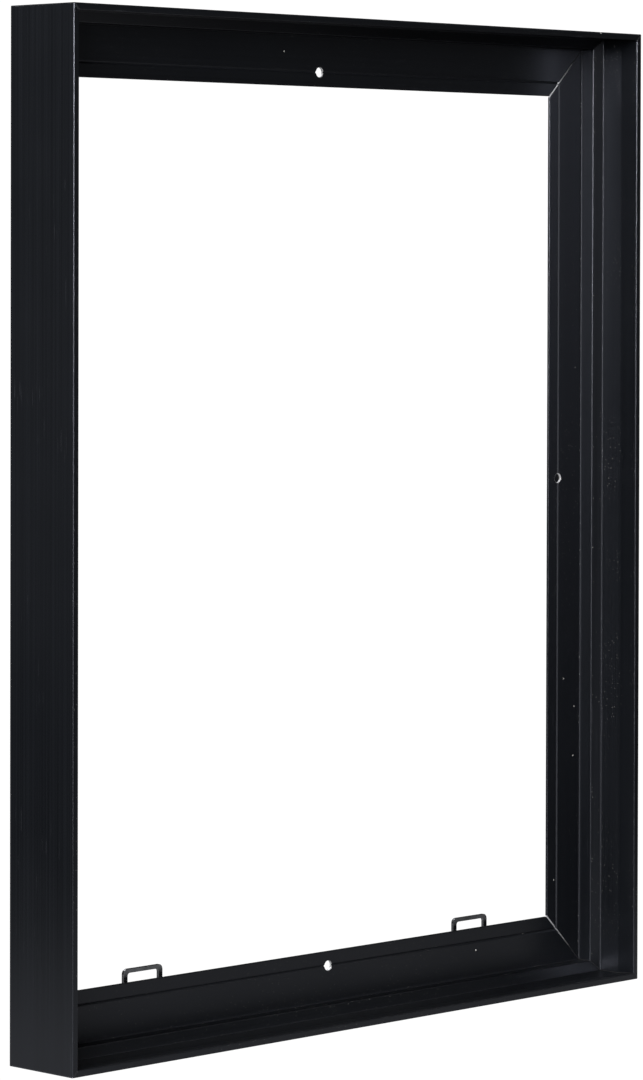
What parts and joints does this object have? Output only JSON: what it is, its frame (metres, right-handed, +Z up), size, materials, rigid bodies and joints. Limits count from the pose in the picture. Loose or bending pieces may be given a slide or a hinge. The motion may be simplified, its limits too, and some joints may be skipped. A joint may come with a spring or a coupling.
{
  "type": "floating frame",
  "caption": "Deep black aluminium floater frame for a stretched canvas, open front and back, with a recessed seat flange and sliding wire hangers behind it.",
  "frame": {"origin": "on the underside of the bottom rail, in the middle of the frame's width and depth", "axes": "+X to the right along the width, +Y from the front lip to the back (towards the wall), +Z up"},
  "size_m": [0.4224, 0.0466, 0.524],
  "materials": {
    "anodised_black": "satin black anodised extrusion",
    "zinc_steel": "zinc-plated steel",
    "nickel_steel": "bright nickel-plated steel",
    "spring_steel": "tempered spring steel"
  },
  "bodies": {
    "frame": {"rail_top": "anodised_black", "rail_right": "anodised_black", "rail_bottom": "anodised_black", "rail_left": "anodised_black", "corner_angle_bottom_left": "zinc_steel", "corner_angle_bottom_right": "zinc_steel", "corner_angle_top_right": "zinc_steel", "corner_angle_top_left": "zinc_steel", "backing_angle_bottom_left": "zinc_steel", "backing_angle_bottom_right": "zinc_steel", "backing_angle_top_right": "zinc_steel", "backing_angle_top_left": "zinc_steel", "set_screw_bottom_left_1": "zinc_steel", "set_screw_bottom_left_2": "zinc_steel", "set_screw_bottom_right_1": "zinc_steel", "set_screw_bottom_right_2": "zinc_steel", "set_screw_top_right_1": "zinc_steel", "set_screw_top_right_2": "zinc_steel", "set_screw_top_left_1": "zinc_steel", "set_screw_top_left_2": "zinc_steel"},
    "hanger_left": {"hanger_plate_left": "nickel_steel", "hanger_spring_left": "spring_steel"},
    "hanger_right": {"hanger_plate_right": "nickel_steel", "hanger_spring_right": "spring_steel"}
  },
  "joints": [
    {"name": "hanger_left_slide", "type": "slide", "parent": "frame", "child": "hanger_left", "axis": [1, 0, 0], "range_m": [-0.024, 0.1]},
    {"name": "hanger_right_slide", "type": "slide", "parent": "frame", "child": "hanger_right", "axis": [1, 0, 0], "range_m": [-0.1, 0.024]}
  ]
}
